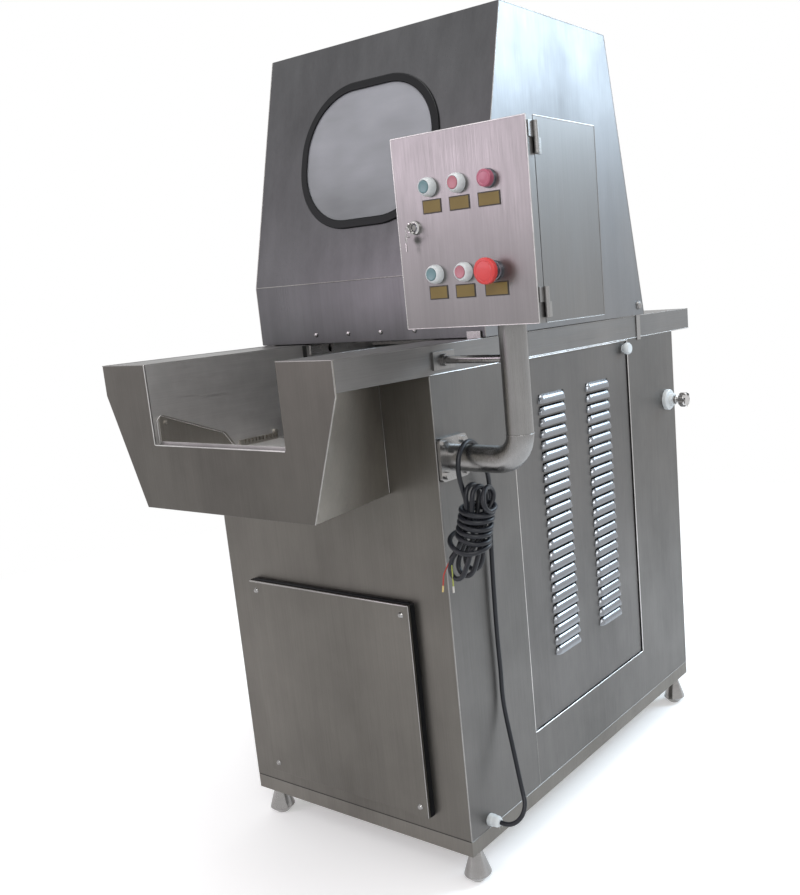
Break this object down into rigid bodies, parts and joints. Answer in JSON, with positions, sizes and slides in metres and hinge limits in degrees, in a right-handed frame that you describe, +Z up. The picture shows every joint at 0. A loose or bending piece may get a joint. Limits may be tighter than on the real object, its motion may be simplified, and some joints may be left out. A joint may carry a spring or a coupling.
{
  "type": "meat brine injector",
  "caption": "Free-standing stainless needle injector: meat channel through a hinged hood over a needle head, louvred cabinet with brine pump, and a control box on a pipe arm.",
  "frame": {"origin": "on the floor under the middle of the machine's outline", "axes": "+Z up, +X towards the side with the louvred door and the control box, -Y towards the infeed trough"},
  "size_m": [0.8938, 1.294, 1.65],
  "materials": {
    "brushed_steel": "brushed, satin",
    "polished_steel": "ground, bright",
    "chrome": "polished",
    "black_rubber": "matt",
    "glass": "clear",
    "white_plastic": "gloss",
    "green_plastic": "gloss",
    "red_plastic": "gloss",
    "brass": "satin",
    "bronze": "machined",
    "grey_paint": "semi-gloss",
    "zinc": "zinc plated",
    "grey_plastic": "matt",
    "cord_black": "satin",
    "wire": "satin"
  },
  "bodies": {
    "machine": {"base_frame": "brushed_steel", "levelling_feet": "polished_steel", "cabinet_front": "brushed_steel", "cabinet_left": "brushed_steel", "cabinet_right": "brushed_steel", "cabinet_rear": "brushed_steel", "front_access_panel": "brushed_steel", "access_panel_gasket": "black_rubber", "access_panel_screws": "polished_steel", "rail_right": "brushed_steel", "rail_left": "brushed_steel", "column_bushes": "bronze", "channel_pan": "brushed_steel", "infeed_cheeks": "polished_steel", "infeed_trough": "brushed_steel", "feed_grate": "polished_steel", "rake_slide_shafts": "polished_steel", "brine_catch_tray": "brushed_steel", "brine_tank": "brushed_steel", "brine_pump": "polished_steel", "brine_pipes": "polished_steel", "drive_frame": "grey_paint", "gearmotor": "grey_paint", "valve_flange": "white_plastic", "control_arm": "brushed_steel", "arm_flange_bolts": "polished_steel", "control_box_shell": "brushed_steel", "control_gear": "grey_plastic", "cord_gland": "white_plastic", "power_cord": "cord_black", "cord_hank": "cord_black", "cord_end_wires": "wire", "hood_hinge_straps": "polished_steel", "hood_rest_blocks": "polished_steel", "door_brackets": "zinc"},
    "needle_head": {"needle_columns": "chrome", "head_beam": "polished_steel", "needle_manifold": "polished_steel", "needles": "chrome"},
    "stripper": {"stripper_plate": "polished_steel"},
    "crankshaft": {"crankshaft": "grey_paint"},
    "rod_pair": {"connecting_rods": "grey_paint"},
    "rake": {"feed_rake": "polished_steel"},
    "hood": {"hood_shell": "brushed_steel", "window_glass": "glass", "window_rubber": "black_rubber", "hood_band_screws": "polished_steel"},
    "side_door": {"side_door": "brushed_steel"},
    "door_latch": {"door_latch": "white_plastic"},
    "box_door": {"control_box_door": "brushed_steel", "button_bezels": "white_plastic", "indicator_lamp": "red_plastic", "label_plates": "brass"},
    "box_lock": {"box_lock_key": "chrome"},
    "emergency_stop": {"emergency_stop_head": "red_plastic"},
    "start_button_1": {"green_start_button_1": "green_plastic"},
    "start_button_2": {"green_start_button_2": "green_plastic"},
    "stop_button_1": {"red_stop_button_1": "red_plastic"},
    "stop_button_2": {"red_stop_button_2": "red_plastic"},
    "valve_knob": {"valve_knob": "polished_steel"}
  },
  "joints": [
    {"name": "head_stroke", "type": "slide", "parent": "machine", "child": "needle_head", "axis": [0, 0, -1], "range_m": [0, 0.14]},
    {"name": "stripper_slide", "type": "slide", "parent": "needle_head", "child": "stripper", "axis": [0, 0, 1], "range_m": [0, 0.11]},
    {"name": "crank_turn", "type": "hinge", "parent": "machine", "child": "crankshaft", "pos_m": [-0.1356, 0.061, 0.4], "axis": [1, 0, 0], "range_deg": [0, 180]},
    {"name": "rod_swing", "type": "hinge", "parent": "needle_head", "child": "rod_pair", "pos_m": [-0.1356, 0.061, 0.76], "axis": [1, 0, 0], "range_deg": [-12, 12]},
    {"name": "rake_stroke", "type": "slide", "parent": "machine", "child": "rake", "axis": [0, -1, 0], "range_m": [0, 0.042]},
    {"name": "hood_hinge", "type": "hinge", "parent": "machine", "child": "hood", "pos_m": [-0.1356, 0.361, 1.067], "axis": [-1, 0, 0], "range_deg": [0, 65]},
    {"name": "side_door_hinge", "type": "hinge", "parent": "machine", "child": "side_door", "pos_m": [0.1549, -0.1745, 0.605], "axis": [0, 0, -1], "range_deg": [0, 100]},
    {"name": "door_latch_turn", "type": "hinge", "parent": "side_door", "child": "door_latch", "pos_m": [0.1604, 0.29, 0.971], "axis": [1, 0, 0], "range_deg": [0, 90]},
    {"name": "box_door_hinge", "type": "hinge", "parent": "machine", "child": "box_door", "pos_m": [0.4429, -0.4615, 1.225], "axis": [0, 0, 1], "range_deg": [0, 120]},
    {"name": "box_lock_turn", "type": "hinge", "parent": "box_door", "child": "box_lock", "pos_m": [0.2144, -0.48, 1.235], "axis": [0, 1, 0], "range_deg": [0, 90]},
    {"name": "valve_turn", "type": "hinge", "parent": "machine", "child": "valve_knob", "pos_m": [0.1644, 0.498, 0.823], "axis": [1, 0, 0], "range_deg": [0, 270]},
    {"name": "emergency_stop_press", "type": "slide", "parent": "box_door", "child": "emergency_stop", "axis": [0, 1, 0], "range_m": [0, 0.005], "stiffness_N_per_m": 2500, "springref_m": -0.002},
    {"name": "start_button_1_press", "type": "slide", "parent": "box_door", "child": "start_button_1", "axis": [0, 1, 0], "range_m": [0, 0.003], "stiffness_N_per_m": 900, "springref_m": -0.0015},
    {"name": "start_button_2_press", "type": "slide", "parent": "box_door", "child": "start_button_2", "axis": [0, 1, 0], "range_m": [0, 0.003], "stiffness_N_per_m": 900, "springref_m": -0.0015},
    {"name": "stop_button_1_press", "type": "slide", "parent": "box_door", "child": "stop_button_1", "axis": [0, 1, 0], "range_m": [0, 0.003], "stiffness_N_per_m": 900, "springref_m": -0.0015},
    {"name": "stop_button_2_press", "type": "slide", "parent": "box_door", "child": "stop_button_2", "axis": [0, 1, 0], "range_m": [0, 0.003], "stiffness_N_per_m": 900, "springref_m": -0.0015}
  ],
  "couplings": [
    {"joint": "crank_turn", "follows": "head_stroke", "rad_per_m": 22.439},
    {"joint": "rake_stroke", "follows": "head_stroke", "ratio": 0.3}
  ]
}
